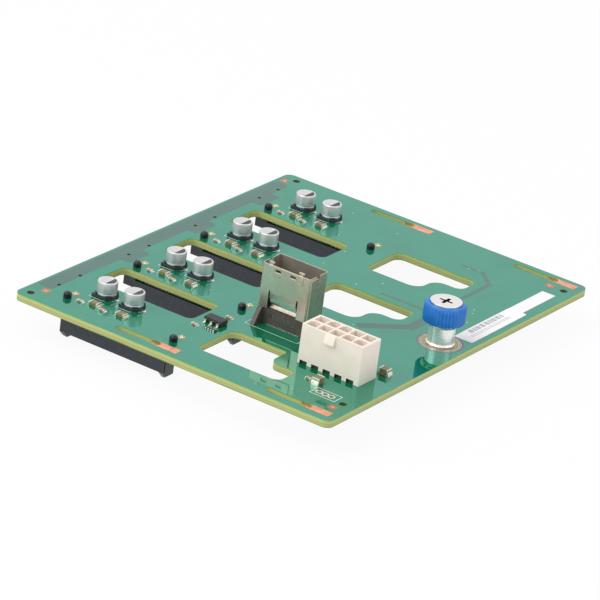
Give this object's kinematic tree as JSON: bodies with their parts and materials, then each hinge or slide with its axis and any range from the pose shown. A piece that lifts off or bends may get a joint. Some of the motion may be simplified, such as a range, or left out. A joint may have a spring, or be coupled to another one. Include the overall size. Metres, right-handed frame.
{
  "type": "drive backplane board",
  "caption": "Circuit board that hangs on chassis hooks behind a row of disk drives, with drive connectors below and data, power and a captive thumbscrew above.",
  "frame": {"origin": "centre of the four hook slots, on the board's underside", "axes": "+X along the short side towards the thumbscrew's edge, +Y along the long side, +Z out of the component side"},
  "size_m": [0.1164, 0.1466, 0.033],
  "materials": {
    "green_board": "glossy green solder mask over glass laminate",
    "bare_copper": "flash-plated copper",
    "plated_ring": "thinly plated copper ring",
    "black_plastic": "moulded black plastic",
    "dark_plastic": "moulded dark grey plastic",
    "gold_contact": "gold plated",
    "tinned_metal": "tinned",
    "can_aluminium": "drawn aluminium, lightly brushed",
    "ceramic_brown": "sintered brown ceramic",
    "resistor_tan": "pinkish tan glaze",
    "black_epoxy": "moulded epoxy",
    "cream_nylon": "natural nylon",
    "cage_steel": "plated sheet steel",
    "nickel_plate": "nickel plated",
    "spring_steel": "drawn wire",
    "blue_plastic": "moulded blue plastic",
    "label_paper": "white paper label"
  },
  "bodies": {
    "board": {"board": "green_board", "hook_ground_pads": "bare_copper", "screw_ground_pad": "plated_ring", "drive_board_locks": "tinned_metal", "capacitor_bases": "black_plastic", "capacitor_cans": "can_aluminium", "capacitor_leads": "tinned_metal", "ceramic_chip_bodies": "ceramic_brown", "large_ceramic_bodies": "ceramic_brown", "resistor_chip_bodies": "resistor_tan", "chip_metal_ends": "tinned_metal", "resistor_array_body": "black_epoxy", "resistor_array_ends": "tinned_metal", "regulator_body": "black_epoxy", "regulator_leads": "tinned_metal", "power_header": "cream_nylon", "power_header_pins": "tinned_metal", "data_cage": "cage_steel", "data_connector_base": "dark_plastic", "data_contacts": "gold_contact", "edge_label": "label_paper", "screw_ferrule": "nickel_plate", "drive_connector_1": "black_plastic", "drive_contacts_1": "gold_contact", "drive_connector_2": "black_plastic", "drive_contacts_2": "gold_contact", "drive_connector_3": "black_plastic", "drive_contacts_3": "gold_contact", "drive_connector_4": "black_plastic", "drive_contacts_4": "gold_contact"},
    "spring": {"screw_spring": "spring_steel"},
    "thumbscrew": {"thumb_screw": "nickel_plate", "screw_knob": "blue_plastic"}
  },
  "joints": [
    {"name": "screw_press", "type": "slide", "parent": "board", "child": "spring", "axis": [0, 0, 1], "range_m": [-0.0034, 0], "stiffness_N_per_m": 400, "springref_m": 0.002, "deforming": ["screw_spring"]},
    {"name": "screw_turn", "type": "hinge", "parent": "spring", "child": "thumbscrew", "pos_m": [0.0361, -0.00045, 0.00236], "axis": [0, 0, 1], "continuous": true}
  ]
}
